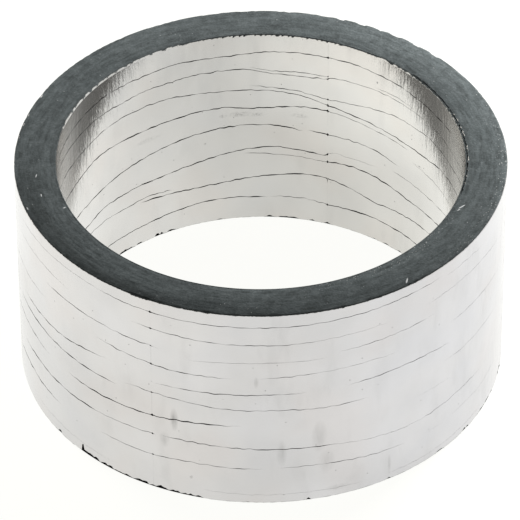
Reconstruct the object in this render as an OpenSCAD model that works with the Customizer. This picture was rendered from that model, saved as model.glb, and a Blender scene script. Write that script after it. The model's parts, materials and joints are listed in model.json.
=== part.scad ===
// Slip-joint exhaust gasket: a graphite tape wound into a roll and pressed along its axis in a die.
// The pressing leaves wavy folds on both walls, and the tape's turns show on both ends.
// Millimetres. The ring stands on its lower end, with its axis on +Z through the origin.

/* [Ring] */
// Bore, which slides over the pipe
bore_d = 44; // [36:0.5:60]
// Wall between the bore and the outside
wall = 4.5; // [3:0.1:8]
// Height along the axis
ring_h = 26; // [16:0.5:40]
// Break along the four rims
edge_break = 0.25; // [0.1:0.05:0.5]

/* [Folds] */
// Mean distance between folds up the bore
bore_fold_pitch = 3; // [2:0.1:5]
// Height of the first fold of the bore above the lower rim, and of the last below the upper one
bore_fold_margin = 2.6; // [1.5:0.1:4]
// How far a fold of the bore strays up and down at mid-height
bore_wander = 0.9; // [0:0.1:1.5]
// Mean distance between folds up the outer wall
outer_fold_pitch = 2.6; // [2:0.1:5]
// Height of the first fold of the outer wall above the lower rim, and of the last below the upper one
outer_fold_margin = 1.3; // [1:0.1:4]
// How far a fold of the outer wall strays up and down at mid-height
outer_wander = 0.4; // [0:0.1:1.5]
// Width of a fold at the wall
fold_w = 0.2; // [0.1:0.02:0.4]
// Depth of a fold
fold_depth = 0.2; // [0.1:0.02:0.4]

/* [Tape] */
// Thickness of one turn of the tape
tape_t = 0.5; // [0.4:0.05:1]
// Where the tape begins on the bore, in degrees from +X
bore_seam = 70; // [-180:1:180]
// Where the tape ends on the outer wall, in degrees from +X
outer_seam = -116; // [-180:1:180]
// Width of the lines at the tape's ends and between its turns
seam_w = 0.14; // [0.08:0.02:0.3]
// Depth of the lines at the tape's ends and between its turns
seam_depth = 0.12; // [0.06:0.02:0.3]

/* [Wear] */
// Depth of the chips along the lower outer rim
chip_depth = 0.4; // [0.3:0.05:0.6]

/* [Hidden] */
// Chips along the lower outer rim: first angle, last angle, height
chips = [[-137.2, -135.8, 1.3], [-135.4, -117, 0.5], [-115, -111.5, 0.6], [-108, -104, 0.5], [-80, -79, 1]];
// Angles of a crest of each fold, from the lowest up, used in turn
bore_crests = [100, 74, 84, 90, 76, 30, 98, 70];
outer_crests = [-60, -110, -140, -95, -130, -70, -150, -85, -120, -135];
// Waves of a fold in one turn
waves = 3;
// Turn of one run of a fold, of the first run of the lowest fold, and what each fold up adds to that
run_turn = 30;
first_turn = 8;
first_turn_step = 5;
// Sound bridge left between two runs of a fold
run_gap = 0.2;
// One in so many runs of an outer fold is closed, some runs further round on each fold up
closed_every = 5;
closed_step = 2;
// How far a cut starts clear of the surface
clear = 0.5;

bore_r = bore_d / 2;
outer_r = bore_r + wall;

$fn = 180;

// Section of the plain ring
module section() {
    e = edge_break;
    polygon([
        [bore_r + e, 0], [outer_r - e, 0], [outer_r, e], [outer_r, ring_h - e],
        [outer_r - e, ring_h], [bore_r + e, ring_h], [bore_r, ring_h - e], [bore_r, e],
    ]);
}

// Section of a V cut of width w and depth d into a surface at the origin that faces -X
module v_cut(w, d) {
    flare = w / 2 * (1 + clear / d);
    polygon([[-clear, -flare], [d, 0], [-clear, flare]]);
}

// Number of spaces between folds, and the height of fold k, on a wall
function fold_spaces(pitch, margin) = max(1, round((ring_h - 2 * margin) / pitch));
function fold_height(k, pitch, margin) = margin + k * (ring_h - 2 * margin) / fold_spaces(pitch, margin);

// Height of a fold at angle a: its wander fades towards the rims and stays under a third of the pitch
function fold_z(z, a, crest, wander, pitch) =
    z + min(wander, pitch / 3) * sin(180 * z / ring_h) * cos(waves * (a - crest));

// One run of a fold, an arc on a wall of radius r from angle a0 at z0 to a1 at z1.
// into is 1 where the cut goes outwards from the bore and -1 where it goes inwards.
module fold_run(r, into, a0, z0, a1, z1) {
    gap = run_gap / r * 180 / PI;
    turn = a1 - a0 - gap;
    lean = atan((z1 - z0) / (2 * r * sin((a1 - a0) / 2)));
    translate([0, 0, (z0 + z1) / 2])
        rotate([0, 0, (a0 + a1) / 2])
            rotate([lean, 0, 0])
                rotate([0, 0, -turn / 2])
                    rotate_extrude(angle = turn)
                        translate([r, 0])
                            mirror([into < 0 ? 1 : 0, 0])
                                v_cut(fold_w, fold_depth);
}

// Angle from the tape's end at which run j of fold k starts. The runs of neighbouring folds are staggered.
function run_start(j, k) =
    j == 0 ? 0 : min(360, (j - 1) * run_turn + first_turn + k * first_turn_step % (run_turn / 2));

// All the folds of one wall, from the tape's end round to it again
module folds(r, into, pitch, margin, wander, crests, seam, broken) {
    for (k = [0 : fold_spaces(pitch, margin)], j = [0 : 360 / run_turn])
        if (!broken || (j + closed_step * k) % closed_every != 0) {
            z = fold_height(k, pitch, margin);
            crest = crests[k % len(crests)];
            a0 = seam + run_start(j, k);
            a1 = seam + run_start(j + 1, k);
            fold_run(r, into, a0, fold_z(z, a0, crest, wander, pitch), a1, fold_z(z, a1, crest, wander, pitch));
        }
}

// The line where the tape's end lies against a wall
module tape_end(r, into, seam) {
    rotate([0, 0, seam])
        translate([r, 0, -clear])
            linear_extrude(ring_h + 2 * clear)
                mirror([into < 0 ? 1 : 0, 0])
                    v_cut(seam_w, seam_depth);
}

// The lines between the tape's turns on the lower end: half circles about two centres that make a spiral
module turn_lines() {
    first = ceil(2 * (edge_break + seam_w) / tape_t);
    last = floor(2 * (wall - edge_break - seam_w) / tape_t) - 1;
    for (n = [first : last]) {
        r = bore_r + n * tape_t / 2;
        rotate([0, 0, bore_seam])
            translate([n % 2 * tape_t / 2, 0, 0])
                rotate([0, 0, n % 2 * 180])
                    rotate_extrude(angle = 180)
                        translate([r, 0])
                            rotate(90)
                                v_cut(seam_w, seam_depth);
    }
}

// Chips along the lower outer rim
module rim_chips() {
    for (c = chips)
        rotate([0, 0, c[0]])
            rotate_extrude(angle = c[1] - c[0])
                polygon([
                    [outer_r - chip_depth, -clear], [outer_r + clear, -clear],
                    [outer_r + clear, c[2]], [outer_r - chip_depth / 2, c[2]],
                ]);
}

module gasket_ring() {
    color("silver")
        difference() {
            rotate_extrude() section();
            folds(bore_r, 1, bore_fold_pitch, bore_fold_margin, bore_wander, bore_crests, bore_seam, false);
            folds(outer_r, -1, outer_fold_pitch, outer_fold_margin, outer_wander, outer_crests, outer_seam, true);
            tape_end(bore_r, 1, bore_seam);
            tape_end(outer_r, -1, outer_seam);
            turn_lines();
            translate([0, 0, ring_h]) mirror([0, 0, 1]) turn_lines();
            rim_chips();
        }
}

gasket_ring();
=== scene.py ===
import json
import math

import bpy
import numpy as np
from mathutils import Matrix, Vector

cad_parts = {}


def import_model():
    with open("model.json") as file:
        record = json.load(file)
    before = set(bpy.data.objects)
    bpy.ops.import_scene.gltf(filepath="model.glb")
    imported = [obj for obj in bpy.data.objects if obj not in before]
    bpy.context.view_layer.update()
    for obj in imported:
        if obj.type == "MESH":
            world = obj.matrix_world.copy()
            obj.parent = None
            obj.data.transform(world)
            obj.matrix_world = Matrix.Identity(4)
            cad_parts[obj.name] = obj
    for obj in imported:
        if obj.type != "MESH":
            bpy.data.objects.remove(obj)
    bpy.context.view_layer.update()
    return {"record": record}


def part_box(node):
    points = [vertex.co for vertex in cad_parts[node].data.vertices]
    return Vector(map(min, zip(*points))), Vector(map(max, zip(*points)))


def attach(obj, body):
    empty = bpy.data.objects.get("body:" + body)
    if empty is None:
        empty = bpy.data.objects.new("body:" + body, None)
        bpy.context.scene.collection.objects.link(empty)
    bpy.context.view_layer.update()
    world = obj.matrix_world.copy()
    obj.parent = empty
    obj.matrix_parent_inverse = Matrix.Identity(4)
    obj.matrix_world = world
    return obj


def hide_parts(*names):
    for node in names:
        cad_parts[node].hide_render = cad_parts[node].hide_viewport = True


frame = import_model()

# Lengths are in millimetres up to the mesh, which is in metres.
# Angles are in degrees from +X, seen from above.
MM = 0.001
NODE = "gasket_ring"
MOUNTS = {m["name"]: m for m in frame["record"]["mounts"]}
BORE_R = MOUNTS["pipe_bore"]["dims"]["r_mm"]
OUTER_R = MOUNTS["sleeve_seat"]["dims"]["r_mm"]
HEIGHT = (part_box(NODE)[1][2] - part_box(NODE)[0][2]) / MM

# The tape's ends, on the bore and on the outer wall
BORE_SEAM = 70
OUTER_SEAM = -116

# Folds from the lowest up. Each has runs: first angle, last angle, darkness,
# and heights in percent at even steps
OUTER_FOLDS = [
    [(-156, -126, 0.21, (5.4, 5.8, 5.2, 4.8)), (-104, -66, 0.21, (5, 4.5, 4.5, 4)),
     (-60, -26, 0.24, (3.6, 3.2, 3.7, 3.8))],
    [(-172, -145, 0.95, (14.2, 16.7, 17.2, 16.9, 17)),
     (-131, -90, 0.59, (18, 17.9, 17.8, 18.6, 19, 18.5, 18.5)),
     (-86, -55, 0.55, (19, 18.8, 18.1, 16.9, 16.3)), (-49, -42, 0.18, (15.5, 15.2)),
     (-40, -15, 0.21, (15.8, 16, 15.3, 16, 16))],
    [(-165, -129, 0.9, (26, 28, 27.8, 27.9, 28.4)), (-134, -116, 0.55, (28.1, 28.6, 29.4)),
     (-114, -70.5, 0.77, (29.7, 30, 29.5, 29.1, 28.8, 27.7)), (-75, -49, 0.3, (28.4, 26.6, 25.1, 24.8)),
     (-52, -27, 0.45, (24.8, 25.2, 26, 25))],
    [(-174, -149, 0.75, (36, 38.3, 38.8, 38.3)), (-141, -95, 1, (38.5, 38.4, 38.5, 39, 39.9, 40.9, 41.6)),
     (-52, -40, 0.15, (38.3, 37.9, 37))],
    [(-168, -125, 0.9, (47.6, 48.4, 48.8, 48.5, 48.6, 48.4)),
     (-123, -65, 0.59, (51.8, 51.6, 51.2, 50.2, 49.9, 50.2, 49.4, 48.8, 49)),
     (-43, -18, 0.3, (48, 47.6, 47.3, 46))],
    [(-164, -128.5, 0.8, (54, 55, 55.6, 56.1, 58.1, 59.7)), (-115, -80, 0.72, (57, 57.6, 58, 58.5, 58.4)),
     (-70, -41, 0.62, (58.3, 58.8, 58.8, 58.2, 56.3))],
    [(-176, -150, 0.42, (63, 66, 66.7, 67.5)), (-131, -97, 0.68, (68.8, 67.6, 66.9, 66.1, 66.3, 66.6)),
     (-91, -70, 0.5, (67, 67.7, 68, 68.1)), (-74, -58, 0.28, (68.1, 68.2, 67.5)),
     (-41, -16, 0.36, (66.9, 66.5, 65.7, 64.2))],
    [(-150, -114, 0.68, (76.8, 77.3, 77.2, 76.5, 76.2)), (-107, -75, 0.34, (73.5, 75, 75.4, 75.2)),
     (-72, -46.5, 0.46, (77.3, 77.4, 77.6, 77.7))],
    [(-166, -140, 0.42, (83, 84.3, 84.7, 84)), (-121, -76, 0.59, (85.8, 85.2, 84.6, 84.5, 84.5, 84.7)),
     (-80, -60, 0.3, (84.6, 85.2, 85)), (-49, -17, 0.3, (84.8, 85.2, 84.2, 81.8))],
    [(-164, -128, 0.36, (92, 93.5, 94.4, 95.1, 94.6)),
     (-131, -45, 0.62, (94.6, 94.1, 93.8, 93.7, 93.8, 93.8, 94.1, 94.5, 94.9, 95)),
     (-43, -28, 0.3, (93.3, 93.4, 92))],
]
BORE_FOLDS = [
    [(28, 70, 1, (11, 11.1, 11.5, 11.9, 11.5, 11)), (70, 87, 0.56, (11.1, 12, 12.3, 12)),
     (88, 150, 0.9, (11.3, 12, 11.9, 10.8, 9.6, 9.3, 9.5, 9.6))],
    [(24.5, 70, 0.84, (23.4, 23, 22.4, 21.5, 20.4, 23.4, 25.8)),
     (70, 128, 1, (25.8, 26, 24.2, 22.8, 21.2, 20.2, 20.6, 21.4, 22.8))],
    [(117, 158, 0.67, (23, 24.4, 23.9, 25, 25, 25.2))],
    [(20, 70, 1, (33, 32.4, 31.9, 31.8, 33.4, 35.2, 35.6, 35)), (70, 95, 0.56, (34.3, 35, 35.5, 36))],
    [(54, 70, 0.28, (40.5, 40, 40.4)),
     (70, 159, 0.95, (37.8, 38.6, 39.7, 38.3, 36, 33.7, 32, 32, 32.1, 32.3, 30.4, 30))],
    [(12, 48, 0.56, (43.5, 43, 41.8, 42, 42.8))],
    [(46, 70, 0.78, (46.8, 49.3, 49.8, 49.6)), (70, 76, 0.9, (49.6, 50.3)),
     (77.5, 166, 0.95, (49.5, 51.3, 51.6, 50.9, 49.6, 48, 46.2, 44.8, 43.2, 42, 42, 42.3))],
    [(19, 40, 0.45, (52, 53, 53.2, 54))],
    [(42, 70, 0.56, (59, 59.5, 60.2, 61.5, 62.5)),
     (70, 174.5, 1, (62.5, 62.6, 61.2, 60.2, 61.8, 61.9, 61.1, 60.9, 60.9, 61.7, 62.2, 60.8, 60.3,
                     60.7, 61.2))],
    [(6, 70, 0.9, (63.5, 64, 64.2, 63.2, 61.7, 61.2, 61.9, 62.8, 63.8, 65.6)),
     (70, 173, 0.78, (65.7, 68.4, 70, 70.3, 70.7, 71.6, 73.2, 73.6, 73.9, 73.9, 72.6, 72.9, 73.9, 74.6))],
    [(3, 70, 0.67, (76, 74.8, 72.8, 73.5, 74, 73.2, 72.9, 71.2, 69.5, 68.6)),
     (70, 93, 0.67, (68.6, 70.4, 71.6, 72.7))],
    [(3, 32, 0.56, (83, 82, 80.8, 81, 81.5)), (35, 70, 0.56, (81.3, 81.6, 81.8, 81.4, 80.8)),
     (70, 174, 0.78, (79.4, 78.8, 79, 81.8, 81.8, 82, 81.5, 82, 81.6, 82.5, 83.1, 83.2, 84.6, 85.6))],
    [(39, 55, 0.45, (82.5, 83.6, 83)), (70, 93, 0.67, (80.7, 81, 80.4, 81.9))],
    [(19, 176, 0.84, (90, 89.3, 89.4, 90.2, 90.7, 91.4, 91.2, 91.2, 90.7, 89.3, 89.4, 90.4, 90, 90.4,
                      91.2, 90.8, 90.8, 91, 91.2))],
]
FOLD_DEPTH = 0.12
FOLD_HALF_W = (0.004, 0.066)  # of a fading fold, and what a dark one adds
FOLD_GAP = 0.34  # least distance between two folds
OUTER_FADE, BORE_FADE = 5, 2  # degrees over which a run fades out
EDGE_REACH = 35  # degrees from the edge of the seen side within which a fold goes on behind it

# Chips along the lower rims: first angle, last angle, height, depth
OUTER_CHIPS = [(-174.6, -172.4, 0.5, 0.02), (-146.5, -144.8, 0.6, 0.35), (-137.3, -136.1, 1.4, 0.35),
               (-140, -136, 0.2, 0.2), (-136.9, -132.4, 0.6, 0.3), (-136.8, -127, 0.46, 0.3),
               (-128, -110, 0.34, 0.25), (-121, -117, 0.45, 0.35), (-115, -111.5, 0.5, 0.35),
               (-110.5, -104, 0.35, 0.25), (-94, -92, 0.3, 0.3), (-80, -79, 0.5, 0.35),
               (-60, -58.5, 0.3, 0.3), (-45, -42.5, 0.28, 0.2), (-36, -32.5, 0.36, 0.1),
               (-27.5, -18.3, 0.32, 0.02), (-13.6, -9.4, 0.7, 0.02)]
BORE_CHIPS = [(44, 46, 0.3, 0.3), (49, 51, 0.3, 0.3), (53.5, 55, 0.25, 0.25), (69, 71.5, 0.28, 0.28),
              (74, 76, 0.25, 0.25), (79, 85, 0.3, 0.3), (86, 88.5, 0.3, 0.3), (101, 103, 0.25, 0.25),
              (116, 119, 0.35, 0.3), (120, 123.5, 0.4, 0.3), (127, 130, 0.35, 0.3), (131, 137, 0.4, 0.3)]
# Nicks in the upper outer rim: first angle, last angle, depth
RIM_NICKS = [(-121.5, -116, 0.24), (-103.5, -101.6, 0.22), (-91, -90.3, 0.2), (-72, -71, 0.2),
             (-55, -54, 0.25), (42, 45, 0.22), (48, 50.5, 0.26), (54, 57, 0.2), (59, 60.5, 0.26),
             (63.5, 66, 0.22), (69, 71, 0.24)]
EDGE = 0.12  # break of a sound rim
TAPE = 0.5  # thickness of a turn
FURROW = (-176, -106, 2.1, 3.4)  # along the upper end: first and last angle, and distances from the bore

COLUMNS = 590
BETWEEN = 1  # rows between two folds
END_ROWS = 26
RNG = np.random.default_rng(7)


def columns():
    """Angles of the mesh's columns, closer together at the tape's ends and at the nick in the lower rim."""
    even = np.linspace(-180, 180, COLUMNS, endpoint=False)
    close = [a + d for a in (BORE_SEAM, OUTER_SEAM) for d in (-0.25, -0.1, 0, 0.1, 0.25)]
    close += list(np.arange(-138, -135, 0.15))
    return np.unique(np.round(np.concatenate([even, close]), 3))


ANGLE = columns()


def ripple(low, high, size):
    """Random waves round the ring, from low to high in one turn, with that mean size."""
    k = np.arange(low, high)[:, None]
    waves = RNG.normal(size=k.shape) * np.cos(k * np.radians(ANGLE) + RNG.uniform(0, 2 * math.pi, k.shape))
    return waves.sum(0) * size / waves.sum(0).std()


def turned(a, centre):
    """Angles from centre, from -180 to 180."""
    return (a - centre + 180) % 360 - 180


def span(first, last, soft):
    """1 from angle first to last and 0 elsewhere, with soft ends inside."""
    return np.clip(((last - first) / 2 - np.abs(turned(ANGLE, (first + last) / 2))) / soft, 0, 1)


def smooth(values, width=1.0):
    """values round the ring, smoothed over about width degrees."""
    even = np.linspace(-180, 180, 1440, endpoint=False)
    v = np.interp(even, ANGLE, values, period=360)
    bell = np.exp(-0.5 * (turned(even, 0) / width) ** 2)
    v = np.fft.irfft(np.fft.rfft(v) * np.fft.rfft(np.fft.ifftshift(bell / bell.sum())), len(v))
    return np.interp(ANGLE, even, v, period=360)


def seen(seam, percent):
    """First and last angle that the photograph shows of a wall at that height."""
    if seam == OUTER_SEAM:
        return -172, -12
    return max(3, 30 - 0.4 * percent), min(176, 148 + 0.4 * percent)


def hidden_side(runs, seam):
    """A fold's runs on the side that the photograph doesn't show. They mirror the seen ones at the edge
    that these reach, and fill the hidden side where both edges are reached."""
    low, high = seen(seam, np.mean(runs[0][3]))
    start, stop = runs[0][0], runs[-1][1]
    at_low, at_high = start < low + EDGE_REACH, stop > high - EDGE_REACH
    low, high = min(start, low), max(stop, high)
    drawn_out = (360 - (high - low)) / (stop - start)
    if not (at_low and at_high):
        drawn_out = min(1.3, drawn_out)
    mirrored = []
    for first, last, most, heights in runs:
        if at_low and not at_high:
            ends = low - drawn_out * (last - start), low - drawn_out * (first - start)
        else:
            ends = high + drawn_out * (stop - last), high + drawn_out * (stop - first)
        mirrored.append((*ends, most, heights[::-1]))
    return mirrored


def fold_line(runs, seam, fade):
    """Height and darkness of one fold round the ring."""
    knots = []
    dark = np.zeros(len(ANGLE))
    for first, last, most, heights in runs + hidden_side(runs, seam):
        fades = [0.3 if abs(end - seam) < 0.5 else fade for end in (first, last)]
        knots += list(zip(np.linspace(first, last, len(heights)), heights))
        along = turned(ANGLE, (first + last) / 2)
        reach = (last - first) / 2
        inside = np.minimum((reach + along) / fades[0], (reach - along) / fades[1])
        dark = np.maximum(dark, most * np.clip(inside, 0, 1))
    knots.sort(key=lambda k: k[0] % 360)
    a, z = np.array(knots).T
    height = smooth(np.interp(ANGLE % 360, a % 360, z, period=360)) / 100 * HEIGHT
    return height + ripple(20, 150, 0.03), dark * np.clip(0.85 + ripple(8, 90, 0.2), 0.3, 1.2)


def kept_apart(heights, darks):
    """Moves the fainter of two folds that come too close."""
    for _ in range(40):
        for k in range(len(heights) - 1):
            short = np.clip(FOLD_GAP - (heights[k + 1] - heights[k]), 0, None)
            share = (darks[k + 1] + 0.02) / (darks[k] + darks[k + 1] + 0.04)
            heights[k] = heights[k] - short * share
            heights[k + 1] = heights[k + 1] + short * (1 - share)
    return heights


def row(radius, height, end=0.0, crack=0.0, plain=0.0):
    """A ring of points. end is 1 on an end face. For the strip up to the next row, crack is its darkness
    and plain is 1 where it is part of a smooth wall."""
    fields = (radius, height, end, crack, plain)
    return np.stack([np.broadcast_to(v, ANGLE.shape) for v in fields]).astype(float)


def filled(first, last, count):
    """first and count more rows, evenly up to last, which is left out."""
    rows = [first + (last - first) * k / (count + 1) for k in range(count + 1)]
    for r in rows:
        r[3:] = first[3:]
    return rows


def upside_down(rows):
    """The rows from the last to the first, each still with the strip that follows it."""
    flipped = [r.copy() for r in rows[::-1]]
    for upper, lower in zip(flipped, flipped[1:]):
        upper[3:] = lower[3:]
    return flipped


def wall(radius, into, folds, seam, fade, low, high):
    """A wall's rows from height low up to high. into is 1 where the solid lies outside, as at the bore."""
    lines = [fold_line(runs, seam, fade) for runs in folds]
    darks = [d for _, d in lines]
    heights = kept_apart([h for h, _ in lines], darks)
    at_seam = turned(ANGLE, seam)
    cut = into * 0.016 * np.exp(-(at_seam / 0.09) ** 2)
    rows = [row(radius + cut, low)]
    for height, dark in zip(heights, darks):
        dot = dark[np.abs(at_seam) < 1.5].max() * np.exp(-(at_seam / 0.2) ** 2)
        dark = np.maximum(dark, dot)
        half = FOLD_HALF_W[0] + FOLD_HALF_W[1] * dark ** 1.5 + 0.16 * dot
        depth = into * FOLD_DEPTH * np.clip(dark, 0, 1)
        rows += [row(radius + cut, height - half, 0, dark), row(radius + cut + depth, height, 0, dark),
                 row(radius + cut, height + half)]
    rows.append(row(radius + cut, high))
    for smooth_row in rows[::3]:
        smooth_row[3] = RNG.uniform(0.0, 0.004) * np.exp(-(at_seam / 0.07) ** 2)
        smooth_row[4] = 1
    full = []
    for k, (first, last) in enumerate(zip(rows, rows[1:])):
        full += filled(first, last, 0 if k % 3 else BETWEEN)
    return full + rows[-1:]


def lower_rim(radius, into, chips):
    """Three rows from the lower end to a wall, with chips, and the height at which the wall starts."""
    height, depth = np.zeros((2, len(ANGLE)))
    for first, last, most, deep in chips:
        height = np.maximum(height, most * span(first, last, 0.4))
        depth = np.maximum(depth, deep * span(first, last, 0.4))
    height = height * np.clip(0.85 + ripple(60, 260, 0.22), 0.4, 1.2)
    worn = np.clip(0.012 + ripple(20, 220, 0.012), 0, 0.04)
    chipped = np.maximum(np.clip(height / 0.15, 0, 1), worn)
    low = np.maximum(EDGE, height)
    return [row(radius + into * EDGE, 0, 0.6, chipped),
            row(radius + into * (0.35 * EDGE + 0.3 * depth), 0.35 * EDGE, 0.2, chipped),
            row(radius + into * (0.1 * EDGE + 0.9 * depth), 0.5 * low, 0.1, chipped)], low


def upper_end(sag):
    """Rows from the outer wall in over the upper end to the bore. sag is the wear of the outer rim."""
    # The outer rim is worn bright on the left, and the end's dark breaks off raggedly at the bore
    worn = np.clip(0.15 + ripple(50, 220, 0.5), 0, 1) * span(146, 180, 8)
    teeth = 0.35 + ripple(60, 280, 0.3) * (0.8 + ripple(5, 25, 0.5))
    rows = [row(OUTER_R - 0.5 * EDGE - 0.5 * sag, HEIGHT - 0.4 * EDGE - 0.5 * sag, 0.75 - 0.2 * worn),
            row(OUTER_R - (1.3 + 0.7 * worn) * EDGE - 0.7 * sag, HEIGHT - 0.3 * sag, 1 - 0.85 * worn)]
    broken = 0.5 + 0.5 * np.clip(ripple(4, 30, 1), -1, 1)
    along = turned(ANGLE, FURROW[0]) / (FURROW[1] - FURROW[0])
    furrow_r = BORE_R + FURROW[2] + (FURROW[3] - FURROW[2]) * along + ripple(6, 40, 0.05)
    for r in np.linspace(OUTER_R - 2.5 * EDGE, BORE_R + 0.42, END_ROWS):
        turn = np.cos(2 * math.pi * ((r - BORE_R) / TAPE - ANGLE / 360))
        furrow = 0.035 * span(FURROW[0], FURROW[1], 14) * np.exp(-((r - furrow_r) / 0.25) ** 2)
        rows.append(row(r, HEIGHT - 0.005 * broken * (1 + turn) - furrow, 1))
    # The bore's rim is torn on the right into a crevice, painted black for the shade in it, with light
    # flecks, and polished on the left and at the back
    torn_and_painted_shade = span(-18, 42, 8) * np.clip(0.5 + ripple(30, 200, 0.45), 0, 1)
    polished = np.maximum(span(106, 173, 12), 0.7 * span(38, 58, 6))
    bright = polished * np.clip(0.7 + ripple(20, 160, 0.3), 0, 0.95)
    bevel = EDGE * (1 + 0.5 * polished)
    jag = np.clip(ripple(60, 250, 0.04), -0.08, 0.08)
    flecks = span(-16, 26, 6) * np.clip(ripple(50, 250, 0.9) - 0.1, 0, 1)
    # The torn crevice's rows, painted dark for the shade in it
    rows += [row(BORE_R + 0.25 + 0.7 * jag, HEIGHT - 0.02, 1 - flecks, 0.9 * torn_and_painted_shade),
             row(BORE_R + 0.19 + 0.4 * jag, HEIGHT - 0.02 - 0.2 * torn_and_painted_shade, 1, 0.9 * torn_and_painted_shade),
             row(BORE_R + 1.1 * bevel, HEIGHT - 0.03 * torn_and_painted_shade, 1),
             row(BORE_R + 0.5 * bevel, HEIGHT - 0.3 * bevel, 1 - bright),
             row(BORE_R, HEIGHT - bevel, np.clip(teeth, 0, 1) * (1 - bright))]
    return rows


def ring_rows():
    """All rows: up the outer wall, in over the upper end, down the bore and out under the lower end."""
    top = HEIGHT - EDGE
    sag = np.clip(ripple(10, 50, 0.04) + ripple(60, 200, 0.03), 0, 0.15)
    for first, last, deep in RIM_NICKS:
        sag = np.maximum(sag, deep * span(first, last, 0.5))
    outer, outer_low = lower_rim(OUTER_R, -1, OUTER_CHIPS)
    bore, bore_low = lower_rim(BORE_R, 1, BORE_CHIPS)
    outer += wall(OUTER_R, -1, OUTER_FOLDS, OUTER_SEAM, OUTER_FADE, outer_low, top - 0.6 * sag)
    bore += wall(BORE_R, 1, BORE_FOLDS, BORE_SEAM, BORE_FADE, bore_low, top - 0.22)
    under = filled(row(BORE_R + 2 * EDGE, 0, 1), row(OUTER_R - 2 * EDGE, 0, 1), 3)
    return np.array(outer + upper_end(sag) + upside_down(bore) + under)


def ring():
    """The ring as one closed mesh with the attributes end and crack."""
    radius, height, end, crack, plain = ring_rows().transpose(1, 0, 2)
    a = np.radians(ANGLE)
    points = np.stack([radius * np.cos(a), radius * np.sin(a), height], -1) * MM
    n_rows, n_cols = radius.shape
    row_of, col = np.meshgrid(np.arange(n_rows), np.arange(n_cols), indexing="ij")
    up, right = (row_of + 1) % n_rows, (col + 1) % n_cols
    here, above = row_of * n_cols, up * n_cols
    quads = np.stack([here + col, here + right, above + right, above + col], -1)
    mesh = bpy.data.meshes.new(NODE + "_detail")
    mesh.from_pydata(points.reshape(-1, 3).tolist(), [], quads.reshape(-1, 4).tolist())
    beside = np.roll(crack, -1, 1)
    strips = np.stack([crack, beside, beside, crack], -1)
    for name, domain, values in (("end", "POINT", end), ("crack", "CORNER", strips)):
        attribute = mesh.attributes.new(name, "FLOAT", domain)
        attribute.data.foreach_set("value", values.ravel().astype(np.float32))
    mesh.polygons.foreach_set("use_smooth", [True] * len(mesh.polygons))
    mesh.update()
    mesh.set_sharp_from_angle(angle=math.radians(25))
    side = np.sign(radius - (BORE_R + OUTER_R) / 2) * plain
    out = np.stack([np.cos(a), np.sin(a), 0 * a], -1) * side[..., None]
    out_beside = np.roll(out, -1, 1)
    mesh.normals_split_custom_set(np.stack([out, out_beside, out_beside, out], 2).reshape(-1, 3))
    piece = bpy.data.objects.new("pressed_ring", mesh)
    bpy.context.collection.objects.link(piece)
    return piece


class Nodes:
    """Short calls for making a material's nodes."""

    def __init__(self, name):
        self.material = bpy.data.materials.new(name)
        self.material.use_nodes = True
        self.tree = self.material.node_tree
        self.shader = self.tree.nodes["Principled BSDF"]

    def fill(self, socket, value):
        if isinstance(value, bpy.types.NodeSocket):
            self.tree.links.new(value, socket)
        else:
            socket.default_value = value

    def new(self, kind, inputs=(), **settings):
        node = self.tree.nodes.new(kind)
        for name, value in settings.items():
            setattr(node, name, value)
        for name, value in dict(inputs).items():
            self.fill(node.inputs[name], value)
        return node

    def math(self, operation, a, b=0.0):
        return self.new("ShaderNodeMath", {0: a, 1: b}, operation=operation).outputs[0]

    def vector(self, operation, a, b=(0, 0, 0)):
        return self.new("ShaderNodeVectorMath", {0: a, 1: b}, operation=operation).outputs[0]

    def length(self, a):
        return self.new("ShaderNodeVectorMath", {0: a}, operation="LENGTH").outputs["Value"]

    def noise(self, vector, scale, detail=3.0, roughness=0.55):
        return self.new("ShaderNodeTexNoise", {"Vector": vector, "Scale": scale, "Detail": detail,
                                               "Roughness": roughness}).outputs["Fac"]

    def remap(self, value, low, high, to_low=0.0, to_high=1.0):
        return self.new("ShaderNodeMapRange", {"Value": value, "From Min": low, "From Max": high,
                                               "To Min": to_low, "To Max": to_high}).outputs["Result"]

    def mix(self, factor, a, b):
        node = self.new("ShaderNodeMix", {0: factor, 6: a, 7: b}, data_type="RGBA")
        return node.outputs[2]

    def mix_value(self, factor, a, b):
        node = self.new("ShaderNodeMix", {0: factor, 2: a, 3: b}, data_type="FLOAT")
        return node.outputs[0]

    def tint(self, factor, tone, colour):
        node = self.new("ShaderNodeMix", {0: factor, 6: tone, 7: colour}, data_type="RGBA",
                        blend_type="MULTIPLY")
        return node.outputs[2]

    def specks(self, vector, per_mm, size, share):
        """Small round spots: cells per millimetre, radius as part of a cell, and share of cells with one."""
        cells = self.new("ShaderNodeTexVoronoi", {"Vector": vector, "Scale": per_mm / MM})
        lot = self.new("ShaderNodeSeparateColor", {0: cells.outputs["Color"]}).outputs[0]
        chosen = self.math("LESS_THAN", lot, share)
        return self.math("MULTIPLY", chosen, self.remap(cells.outputs["Distance"], size, 0.6 * size))


def grey(r, g, b):
    return (r, g, b, 1.0)


# Smudges on a wall: its radius, angle, height in percent, width and height in millimetres, darkness
SMUDGES = [(OUTER_R, -110.5, 40, 0.5, 1.7, 0.65), (OUTER_R, -112.9, 28, 0.7, 1.2, 0.25),
           (OUTER_R, -85.5, 27, 0.6, 2.0, 0.3), (OUTER_R, -91.3, 65, 0.3, 0.9, 0.3),
           (OUTER_R, -76.8, 34, 0.9, 2.4, 0.3), (OUTER_R, -75, 20, 1.0, 1.9, 0.22),
           (OUTER_R, -72.5, 4.5, 1.6, 0.5, 0.2), (OUTER_R, -59.2, 8, 0.25, 1.6, 0.3)]
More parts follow.
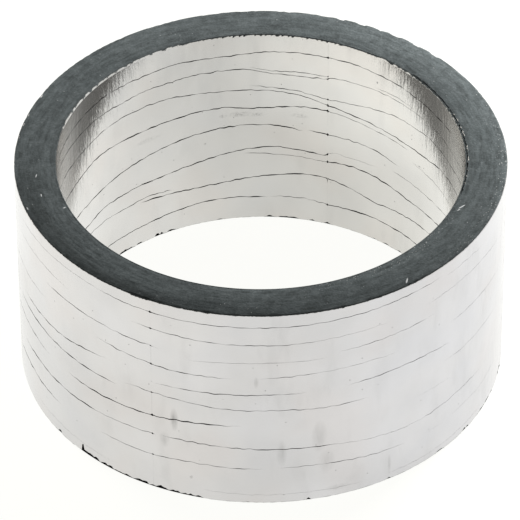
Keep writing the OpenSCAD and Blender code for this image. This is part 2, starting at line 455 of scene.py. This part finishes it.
# Crisper flecks, in the same form
FLECKS = [(BORE_R, 54, 86.4, 0.13, 0.25, 1.1), (BORE_R, 106.5, 43.6, 0.2, 0.17, 1),
          (BORE_R, 116.3, 39, 0.1, 0.1, 1), (BORE_R, 37, 54.6, 0.5, 0.16, 0.7),
          (BORE_R, 101, 57.2, 0.5, 0.3, 0.55), (BORE_R, 96, 57.5, 1.6, 0.45, 0.4),
          (BORE_R, 91, 57, 0.9, 0.35, 0.4), (BORE_R, 78.5, 57.4, 1.2, 0.35, 0.3),
          (BORE_R, 125, 55, 2.2, 0.4, 0.2), (OUTER_R, -106.6, 10.8, 0.22, 0.3, 0.8),
          (OUTER_R, -66.5, 54, 0.1, 0.12, 0.8), (OUTER_R, -45, 70, 0.12, 0.14, 0.9)]


def smudged(n, place, smudges):
    """How dark the smudges are."""
    most = 0.0
    for wall_r, angle, percent, width, height, dark in smudges:
        a = math.radians(angle)
        centre = (wall_r * math.cos(a) * MM, wall_r * math.sin(a) * MM, percent / 100 * HEIGHT * MM)
        away = n.vector("DIVIDE", n.vector("SUBTRACT", place, centre), (width * MM, width * MM, height * MM))
        most = n.math("MAXIMUM", most, n.remap(n.length(away), 1.0, 0.2, 0, dark))
    return most


# Patches of painted light and shade on the walls, lighter where the reflections are brighter and darker
# where shade falls:
# wall radius, angle, height in percent, reach, and what the tone is multiplied by
PAINTED_LIGHT_AND_SHADE = [(BORE_R, 62, 92, 15, 1.34), (BORE_R, 115, 10, 7.5, 1.12), (OUTER_R, -146, 98, 17, 1.07),
             (OUTER_R, -113, 80, 8, 1.07), (OUTER_R, -5, 75, 16, 0.91), (OUTER_R, -142, 4, 16, 0.96),
             (OUTER_R, -95, 2, 10, 0.96)]


def painted_light_and_shade(n, place, in_bore, tone):
    """tone with the patches of painted light and shade, made lighter or darker."""
    for wall_r, angle, percent, reach, gain in PAINTED_LIGHT_AND_SHADE:
        a = math.radians(angle)
        centre = Vector((wall_r * math.cos(a), wall_r * math.sin(a), percent / 100 * HEIGHT)) * MM
        near = n.remap(n.length(n.vector("SUBTRACT", place, centre)), reach * MM, 0.2 * reach * MM)
        on_wall = in_bore if wall_r == BORE_R else n.math("SUBTRACT", 1.0, in_bore)
        tone = n.tint(n.math("MULTIPLY", near, on_wall), tone, grey(gain, gain, gain))
    return tone


def beyond_furrow(n, bearing, radius):
    """How much darker the upper end is outside the furrow."""
    first, last, start, stop = FURROW
    middle, reach = math.radians((first + last) / 2), math.radians((last - first) / 2)
    line = n.remap(bearing, middle - reach, middle + reach, (BORE_R + start) * MM, (BORE_R + stop) * MM)
    off_middle = n.math("ABSOLUTE", n.math("SUBTRACT", bearing, middle))
    along = n.remap(off_middle, 1.1 * reach, 0.5 * reach, 0, 0.33)
    return n.math("MULTIPLY", along, n.remap(n.math("SUBTRACT", radius, line), -0.15 * MM, 0.2 * MM))


# Where light crumbs stick to the upper end: first angle, last angle, and distances from the bore
SALTED = [(-85, -15, -0.3, 1.5), (-50, 25, 3.3, 4.8)]


def salted(n, bearing, radius):
    """How thickly the crumbs stick."""
    most = 0.0
    for first, last, near, far in SALTED:
        middle, reach = math.radians((first + last) / 2), math.radians((last - first) / 2)
        along = n.remap(n.math("ABSOLUTE", n.math("SUBTRACT", bearing, middle)), reach, 0.4 * reach)
        middle, reach = (BORE_R + (near + far) / 2) * MM, (far - near) / 2 * MM
        across = n.remap(n.math("ABSOLUTE", n.math("SUBTRACT", radius, middle)), reach, 0.4 * reach)
        most = n.math("MAXIMUM", most, n.math("MULTIPLY", along, across))
    return most


# Light scratches on the upper end: angle, distance from the bore, length, width, and heading in degrees
SCRATCHES = [(-21.9, 0.97, 1.1, 0.15, 40), (-23.5, 0.85, 0.5, 0.12, 40), (-53.9, 3.76, 1.0, 0.22, 80),
             (-173, 2.2, 0.7, 0.12, 80), (-165, 2.2, 0.6, 0.12, 100), (-158, 0.5, 0.4, 0.16, 30),
             (-161, 4.2, 0.6, 0.14, 110)]


def scratched(n, place):
    """Where the light scratches are."""
    most = 0.0
    for angle, out, length, width, heading in SCRATCHES:
        a = math.radians(angle)
        centre = ((BORE_R + out) * math.cos(a) * MM, (BORE_R + out) * math.sin(a) * MM, HEIGHT * MM)
        away = n.new("ShaderNodeVectorRotate", {"Vector": n.vector("SUBTRACT", place, centre),
                                                "Angle": -math.radians(heading)}).outputs[0]
        away = n.vector("DIVIDE", away, (length / 2 * MM, width / 2 * MM, MM))
        most = n.math("MAXIMUM", most, n.remap(n.length(away), 1.0, 0.6))
    return most


# Gloss left where a wall is seen in another wall, a painted shade that darkens the walls' reflections in
# each other,
# at a glancing and at a squarer look: from and to how glancing, and what is left at each
GLANCING_AGAIN = (0.64, 0.84, 0.125, 0.78)
SQUARE_AGAIN = (0.45, 0.1, 0.125, 0.45)
CROWN = 0.18  # how far the ends fall off towards the walls


def graphite():
    """Burnished walls, dark ends and black folds, from the mesh's attributes."""
    n = Nodes("pressed_graphite")
    place = n.new("ShaderNodeTexCoord").outputs["Object"]
    end = n.new("ShaderNodeAttribute", attribute_name="end").outputs["Fac"]
    crack = n.new("ShaderNodeAttribute", attribute_name="crack").outputs["Fac"]
    facing = n.new("ShaderNodeLayerWeight", {"Blend": 0.5}).outputs["Facing"]

    # Drawn out along the axis, for the marks that the die leaves on the walls
    drawn = n.vector("MULTIPLY", place, (1, 1, 0.22))
    streaks = n.noise(drawn, 2.2 / MM, 4, 0.6)
    smears = n.noise(n.vector("MULTIPLY", place, (1, 1, 0.3)), 0.35 / MM, 3)
    cloud = n.noise(place, 0.12 / MM, 4)

    # Drawn out round the axis, for the turns of the tape on the ends
    flat = n.vector("MULTIPLY", place, (1, 1, 0))
    radius = n.length(flat)
    x, y, _ = n.new("ShaderNodeSeparateXYZ", {0: place}).outputs
    bearing = n.math("ARCTAN2", y, x)
    way = n.vector("MULTIPLY", n.vector("NORMALIZE", flat), (4 * MM,) * 3)
    round_axis = n.vector("ADD", way, n.new("ShaderNodeCombineXYZ", {2: radius}).outputs[0])
    turns = n.noise(round_axis, 2.4 / MM, 4, 0.6)
    bands = n.noise(round_axis, 0.6 / MM, 2)
    mottle = n.noise(place, 1.1 / MM, 4, 0.65)
    grain = n.noise(place, 4.0 / MM, 3, 0.65)

    in_bore = n.remap(radius, (BORE_R + 0.5) * MM, (BORE_R + 1) * MM, 1, 0)
    # The walls' tone changes from left to right in hue and lightness, a painted difference in the light they
    # reflect
    painted_side_light = n.remap(x, -14 * MM, 12 * MM)
    square = n.mix(in_bore, n.mix(painted_side_light, grey(0.716, 0.7, 0.69), grey(0.68, 0.676, 0.692)),
                   n.mix(painted_side_light, grey(0.61, 0.603, 0.592), grey(0.605, 0.595, 0.57)))
    glancing = n.mix(in_bore, n.mix(painted_side_light, grey(0.722, 0.716, 0.714), grey(0.732, 0.729, 0.75)),
                     n.mix(painted_side_light, grey(0.875, 0.865, 0.848), grey(0.86, 0.848, 0.815)))
    wall_tone = n.mix(n.remap(facing, 0.2, 0.65), square, glancing)
    warm = n.noise(n.vector("ADD", place, (9 * MM,) * 3), 0.1 / MM, 2)
    wall_tone = n.tint(n.remap(warm, 0.5, 0.62), wall_tone, grey(1, 0.985, 0.975))
    wall_tone = n.tint(n.remap(warm, 0.47, 0.36), wall_tone, grey(0.985, 0.99, 1))
    # Patches of painted light and shade on the walls, lighter or darker in tone
    wall_tone = painted_light_and_shade(n, place, in_bore, wall_tone)
    # The walls are made darker where seen in another wall, a painted shade in their reflections
    again = n.remap(n.new("ShaderNodeLightPath").outputs["Glossy Depth"], 0, 1)
    left = n.math("MAXIMUM", n.remap(facing, *GLANCING_AGAIN), n.remap(facing, *SQUARE_AGAIN))
    wall_tone = n.tint(again, wall_tone, left)
    marks = n.math("ADD", n.remap(cloud, 0.35, 0.65, 0, 0.12), n.remap(smears, 0.56, 0.8, 0, 0.13))
    smudges = n.math("MULTIPLY", smudged(n, place, SMUDGES), n.remap(streaks, 0.3, 0.7, 0.5, 1.2))
    flecks = n.math("MULTIPLY", smudged(n, place, FLECKS), n.remap(grain, 0.42, 0.62, 0.1, 1.4))
    marks = n.math("ADD", n.math("ADD", marks, smudges), flecks)
    marks = n.math("MAXIMUM", marks, n.specks(place, 0.9, 0.07, 0.5))
    wall_tone = n.mix(marks, wall_tone, grey(0.3, 0.295, 0.29))
    end_tone = n.mix(n.remap(turns, 0.3, 0.7), grey(0.055, 0.062, 0.062), grey(0.12, 0.136, 0.138))
    end_tone = n.mix(n.remap(bands, 0.35, 0.65, 0.0, 0.4), end_tone, grey(0.055, 0.062, 0.063))
    end_tone = n.mix(n.remap(mottle, 0.45, 0.65, 0.0, 0.32), end_tone, grey(0.16, 0.178, 0.18))
    end_tone = n.tint(n.remap(grain, 0.4, 0.65), end_tone, grey(1.3, 1.3, 1.3))
    end_tone = n.mix(beyond_furrow(n, bearing, radius), end_tone, grey(0.03, 0.033, 0.031))
    salt = n.math("MULTIPLY", n.specks(place, 4.5, 0.27, 0.5), salted(n, bearing, radius))
    sparse = n.math("MULTIPLY", n.specks(place, 1.8, 0.11, 0.5), n.remap(bands, 0.5, 0.6))
    salt = n.math("MAXIMUM", salt, sparse)
    end_tone = n.mix(salt, end_tone, grey(0.42, 0.43, 0.42))
    end_tone = n.mix(scratched(n, place), end_tone, grey(0.7, 0.71, 0.71))

    rough_edge = n.math("ADD", end, n.remap(grain, 0.3, 0.7, -0.25, 0.25))
    is_end = n.remap(rough_edge, 0.4, 0.6)
    is_crack = n.remap(crack, 0.06, 0.72)
    groove = n.remap(crack, 0.0, 0.06)
    groove_tone = n.mix(is_crack, grey(0.09, 0.09, 0.088), grey(0.012, 0.012, 0.012))
    groove_tone = n.mix(is_end, groove_tone, grey(0.012, 0.014, 0.014))
    tone = n.mix(groove, n.mix(is_end, wall_tone, end_tone), groove_tone)
    n.fill(n.shader.inputs["Base Color"], tone)
    n.shader.inputs["Specular IOR Level"].default_value = 0.0
    dull = n.math("MAXIMUM", is_end, groove)
    n.fill(n.shader.inputs["Metallic"], n.math("SUBTRACT", 1.0, dull))
    wall_rough = n.remap(smears, 0.3, 0.7, 0.1, 0.16)
    end_rough = n.remap(grain, 0.3, 0.7, 0.5, 0.68)
    rough = n.mix_value(is_end, wall_rough, end_rough)
    n.fill(n.shader.inputs["Roughness"], n.mix_value(groove, rough, 0.95))

    across = n.remap(radius, BORE_R * MM, OUTER_R * MM, -1, 1)
    crown = n.math("MULTIPLY", n.math("MULTIPLY", across, across), -CROWN)
    end_relief = n.math("ADD", n.math("MULTIPLY", turns, 0.03), n.math("MULTIPLY", grain, 0.035))
    end_relief = n.math("ADD", end_relief, crown)
    relief = n.mix_value(is_end, n.math("MULTIPLY", streaks, 0.023), end_relief)
    bump = n.new("ShaderNodeBump", {"Height": relief, "Distance": MM, "Strength": 1.0})
    n.fill(n.shader.inputs["Normal"], bump.outputs[0])
    return n.material


# The floor's own white, for the camera and in the walls, and its tone in other light
FLOOR_GLOW = 0.947
FLOOR_TONE = 0.11
WHITE = grey(1, 1, 0.97)


def floor():
    """A white floor that keeps the ring's shadow."""
    bpy.ops.mesh.primitive_plane_add(size=3)
    plane = bpy.context.object
    plane.name = "floor"
    n = Nodes("floor_white")
    path = n.new("ShaderNodeLightPath").outputs
    shown = n.math("MAXIMUM", path["Is Camera Ray"], path["Is Glossy Ray"])
    n.shader.inputs["Base Color"].default_value = grey(FLOOR_TONE, FLOOR_TONE, FLOOR_TONE)
    n.shader.inputs["Roughness"].default_value = 1.0
    n.shader.inputs["Specular IOR Level"].default_value = 0.0
    n.shader.inputs["Emission Color"].default_value = WHITE
    n.fill(n.shader.inputs["Emission Strength"], n.math("MULTIPLY", shown, FLOOR_GLOW))
    plane.data.materials.append(n.material)


WORLD_LIGHT = 0.21  # on dull faces, while the camera and the walls see the world white


def world():
    """White all round, with even light."""
    w = bpy.data.worlds.new("studio")
    bpy.context.scene.world = w
    w.use_nodes = True
    tree = w.node_tree
    back = tree.nodes["Background"]
    back.inputs["Color"].default_value = WHITE
    path = tree.nodes.new("ShaderNodeLightPath")
    shown = tree.nodes.new("ShaderNodeMath")
    shown.operation = "MAXIMUM"
    level = tree.nodes.new("ShaderNodeMapRange")
    level.inputs["To Min"].default_value = WORLD_LIGHT
    level.inputs["To Max"].default_value = 1.0
    tree.links.new(path.outputs["Is Camera Ray"], shown.inputs[0])
    tree.links.new(path.outputs["Is Glossy Ray"], shown.inputs[1])
    tree.links.new(shown.outputs[0], level.inputs["Value"])
    tree.links.new(level.outputs["Result"], back.inputs["Strength"])


# Soft lamps: place and width in millimetres, power in watts
LAMPS = [((70, 55, 55), 40, 0.175), ((-75, 50, 50), 40, 0.06)]


def lamps():
    """The lamps, which neither the camera nor the walls see."""
    for place, width, power in LAMPS:
        data = bpy.data.lights.new("softbox", "AREA")
        data.shape = "DISK"
        data.size = width * MM
        data.energy = power
        lamp = bpy.data.objects.new("softbox", data)
        lamp.location = Vector(place) * MM
        lamp.visible_camera = False
        lamp.visible_glossy = False
        towards = Vector((0, 0, HEIGHT)) * MM - lamp.location
        lamp.rotation_euler = towards.to_track_quat("-Z", "Y").to_euler()
        bpy.context.collection.objects.link(lamp)


# The camera: point on its axis, distance, angles and focal length
AIM = (-0.13, -6.98, HEIGHT - 8.5)
DISTANCE = 550
ELEVATION = 39.41
ROLL = 0.27
LENS = 354.6


def camera():
    """The photograph's camera."""
    data = bpy.data.cameras.new("camera")
    data.sensor_width = 36
    data.lens = LENS
    data.clip_start = 0.01
    e, roll = math.radians(ELEVATION), math.radians(ROLL)
    ahead = Vector((0, math.cos(e), -math.sin(e)))
    right = Vector((1, 0, 0))
    up = right.cross(ahead)
    side = right * math.cos(roll) - up * math.sin(roll)
    top = right * math.sin(roll) + up * math.cos(roll)
    cam = bpy.data.objects.new("camera", data)
    turn = Matrix((side, top, -ahead)).transposed()
    cam.matrix_world = Matrix.Translation((Vector(AIM) - ahead * DISTANCE) * MM) @ turn.to_4x4()
    bpy.context.collection.objects.link(cam)
    bpy.context.scene.camera = cam


piece = ring()
piece.data.materials.append(graphite())
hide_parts(NODE)
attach(piece, "root")
floor()
world()
lamps()
camera()
bpy.context.scene.view_settings.view_transform = "Standard"
